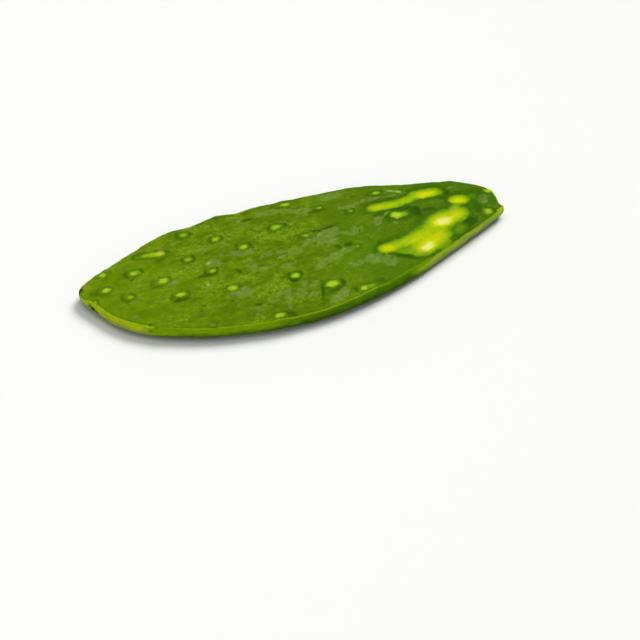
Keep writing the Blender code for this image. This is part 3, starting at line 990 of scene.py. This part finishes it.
def pad_material(colours):
    """Waxy cactus skin with flesh where it is cut.

    The skin is smooth and satin, mottled in olive greens, with greyish wet wax in ragged patches whose grey
    is partly painted sheen, with painted glints in places. Cut rind is dark and saturated, and cut flesh is
    wet, yellow-green and paler the deeper it goes.
    """
    material, tree = new_material("waxy_cactus_skin_and_cut_flesh")
    signal = pad_signals(tree)
    skin = tinted(tree, signal, colours.skin, (
        ("crosswise", 8 * MM, 44 * MM, 0.55, colours.far_skin),
        ("lengthwise", CAD_LOW.x, CAD_HIGH.x, 1, colours.stem_skin),
        ("tone", 0.5, 0.37, 0.6, colours.skin_deep, "lively"),
        ("tone", 0.5, 0.63, 0.5, colours.skin_light_and_glints, "lively"),
        # The light specks are partly painted glints; the mottles and dark specks are the skin's own tone.
        ("specks", 0.54, 0.66, 0.7, colours.skin_light_and_glints, "rough"),
        ("specks", 0.44, 0.34, 0.6, colours.skin_deep, "rough"),
        # Flecks in the glint colour are painted glints.
        ("flecks", 0.6, 0.7, 0.45, colours.glint, "rough"),
        ("rind", 0, 1, 0.92, colours.rind),
    ))
    flesh = add_node(tree, "ValToRGB", None, {0: signal["seen_depth"]},
                     [(0.12, colours.green_flesh), (0.44, colours.flesh), (0.7, colours.pale_flesh),
                      (0.96, colours.heart)]).outputs[0]
    cut_skin = add_node(tree, "Mix", None, {MIX_FACTOR: signal["is_cut"], MIX_A: skin, MIX_B: flesh},
                        data_type="RGBA").outputs[MIX_COLOUR]
    colour = tinted(tree, signal, cut_skin, (
        ("scar", 0, 1, 0.55, colours.scar),
        # The film's grey is partly painted sheen, and its strongest parts take a painted glint.
        ("waxy", 0, 1, 0.66, colours.film_and_sheen),
        ("film_and_sheen", 1, 2, 0.8, colours.glint),
        ("browned", 0, 1, 1, colours.browned),
        ("cork_and_shadow", 0, 1, 1, colours.cork_and_shadow),
    ))
    roughness = add_node(tree, "MapRange", {"To Min": 0.48, "To Max": 0.34},
                         {"Value": signal["waxy"]}).outputs[0]
    coat = add_node(tree, "MapRange", {"To Max": 0.18}, {"Value": signal["waxy"]}).outputs[0]
    bump = add_node(tree, "Bump", {"Strength": 1, "Distance": 0.32 * MM},
                    {"Height": signal["relief"]}).outputs[0]
    shader = add_node(tree, "BsdfPrincipled",
                      {"Specular IOR Level": 0.012, "Coat Roughness": 0.28, "Coat IOR": 1.4},
                      {"Base Color": colour, "Roughness": roughness, "Normal": bump, "Coat Weight": coat})
    add_node(tree, "OutputMaterial", None, {"Surface": shader.outputs[0]})
    return material


def floor_material(colour):
    """Matt painted board: even and pale, with a barely rougher grain."""
    material, tree = new_material("matt_painted_board")
    place = add_node(tree, "TexCoord").outputs["Object"]
    board = add_node(tree, "TexNoise", {"Scale": per_metre(40), "Detail": 2}, {"Vector": place})
    roughness = add_node(tree, "MapRange", {"To Min": 0.75, "To Max": 0.85},
                         {"Value": board.outputs[0]}).outputs[0]
    shader = add_node(tree, "BsdfPrincipled",
                      {"Base Color": (*colour, 1), "Specular IOR Level": 0.2}, {"Roughness": roughness})
    add_node(tree, "OutputMaterial", None, {"Surface": shader.outputs[0]})
    return material


# ---- operators


def direction(turn, rise):
    """The direction of a place round the pad, from its turn clockwise from y and its rise, in radians."""
    return Vector((math.sin(turn) * math.cos(rise), math.cos(turn) * math.cos(rise), math.sin(rise)))


class CACTUS_OT_pad(bpy.types.Operator):
    """Build the pared prickly pear pad"""

    bl_idname = "cactus.pad"
    bl_label = "Pared pad"

    def execute(self, context):
        scene = context.scene
        form = PadForm(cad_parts[CAD_NODE])
        pad = bpy.data.objects.new(PIECE, make_pad_mesh(scene.pad_shape, form))
        scene.collection.objects.link(pad)
        pad.data.materials.append(pad_material(scene.pad_colours))
        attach(pad, "root")
        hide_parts(CAD_NODE)
        return {"FINISHED"}


class CACTUS_OT_stage(bpy.types.Operator):
    """Build the pale floor, the studio lights and the camera"""

    bl_idname = "cactus.stage"
    bl_label = "Studio stage"

    FLOOR_HALF = 8.0
    FLOOR_GAP = 0.1 * MM
    OVERHEAD = (0.15, 0.15, 0.15)
    KEY_BREADTH = math.radians(30)
    SOFTBOX_SIZE = 1.2
    LENS, SENSOR = 100, 36
    VIEW_END = 50
    TARGET = (-3.6 * MM, -41.6 * MM, 0)

    def execute(self, context):
        settings = context.scene.studio_stage
        self.add_floor(context, settings)
        self.add_world(context, settings)
        self.add_lights(context, settings)
        self.add_camera(context, settings)
        return {"FINISHED"}

    def add_floor(self, context, settings):
        level = CAD_LOW.z - self.FLOOR_GAP
        bpy.ops.mesh.primitive_plane_add(size=2 * self.FLOOR_HALF, location=(0, 0, level))
        floor = context.object
        floor.name = "studio_floor"
        floor.data.materials.append(floor_material(settings.floor))

    def add_world(self, context, settings):
        """A pale backdrop at the horizon that is dimmer overhead, where the softboxes do the lighting."""
        world = bpy.data.worlds.new("studio")
        world.use_nodes = True
        tree = world.node_tree
        tree.nodes.clear()
        place = add_node(tree, "TexCoord").outputs["Generated"]
        up = add_node(tree, "SeparateXYZ", None, {0: place}).outputs["Z"]
        shade = add_node(tree, "ValToRGB", None, {0: up},
                         [(0, settings.sky), (0.18, settings.sky), (0.45, self.OVERHEAD)]).outputs[0]
        background = add_node(tree, "Background", {"Strength": 1}, {"Color": shade})
        add_node(tree, "OutputWorld", None, {"Surface": background.outputs[0]})
        context.scene.world = world
        context.scene.view_settings.view_transform = "Standard"

    def add_lights(self, context, settings):
        """A broad even key light beyond the stem end, a softbox overhead and a weak one on the other side."""
        for name, kind, power, turn, rise, distance in (
            ("broad_key", "SUN", settings.key, 52, 46, 2.4),
            ("top_softbox", "AREA", settings.top, -20, 80, 1.5),
            ("fill_softbox", "AREA", settings.fill, 250, 40, 1.4),
        ):
            light = bpy.data.lights.new(name, kind)
            light.energy = power
            if kind == "SUN":
                light.angle = self.KEY_BREADTH
            else:
                light.shape = "SQUARE"
                light.size = self.SOFTBOX_SIZE
            lamp = bpy.data.objects.new(name, light)
            lamp.location = distance * direction(math.radians(turn), math.radians(rise))
            lamp.rotation_euler = lamp.location.to_track_quat("Z", "Y").to_euler()
            context.scene.collection.objects.link(lamp)

    def add_camera(self, context, settings):
        """A long lens looking down at the pad, which lies in the upper half of the frame."""
        camera = bpy.data.cameras.new("studio_camera")
        camera.lens = self.LENS
        camera.sensor_width = self.SENSOR
        camera.clip_end = self.VIEW_END
        view = bpy.data.objects.new("studio_camera", camera)
        turn, rise = settings.azimuth, settings.elevation
        back = direction(math.pi - turn, rise)  # the camera's turn is counted from the near side
        view.location = Vector(self.TARGET) + settings.distance * back
        view.rotation_euler = back.to_track_quat("Z", "Y").to_euler()
        context.scene.collection.objects.link(view)
        context.scene.camera = view


class CACTUS_PT_panel(bpy.types.Panel):
    """Lists the pad's operators and settings"""

    bl_idname = "CACTUS_PT_panel"
    bl_label = "Pared Prickly Pear Pad"
    bl_space_type = "VIEW_3D"
    bl_region_type = "UI"
    bl_category = "Cactus"

    def draw(self, context):
        scene = context.scene
        for operator, settings in ((CACTUS_OT_pad, (scene.pad_shape, scene.pad_colours)),
                                   (CACTUS_OT_stage, (scene.studio_stage,))):
            self.layout.operator(operator.bl_idname)
            for group in settings:
                for name in group.__annotations__:
                    self.layout.prop(group, name)


CLASSES = (PadShape, PadColours, StageSettings, CACTUS_OT_pad, CACTUS_OT_stage, CACTUS_PT_panel)
SETTINGS = {"pad_shape": PadShape, "pad_colours": PadColours, "studio_stage": StageSettings}


def register():
    for made in CLASSES:
        bpy.utils.register_class(made)
    for name, group in SETTINGS.items():
        setattr(bpy.types.Scene, name, PointerProperty(type=group))


def unregister():
    for name in SETTINGS:
        delattr(bpy.types.Scene, name)
    for made in reversed(CLASSES):
        bpy.utils.unregister_class(made)


def main():
    register()
    bpy.ops.cactus.stage()
    bpy.ops.cactus.pad()


if __name__ == "__main__":
    main()
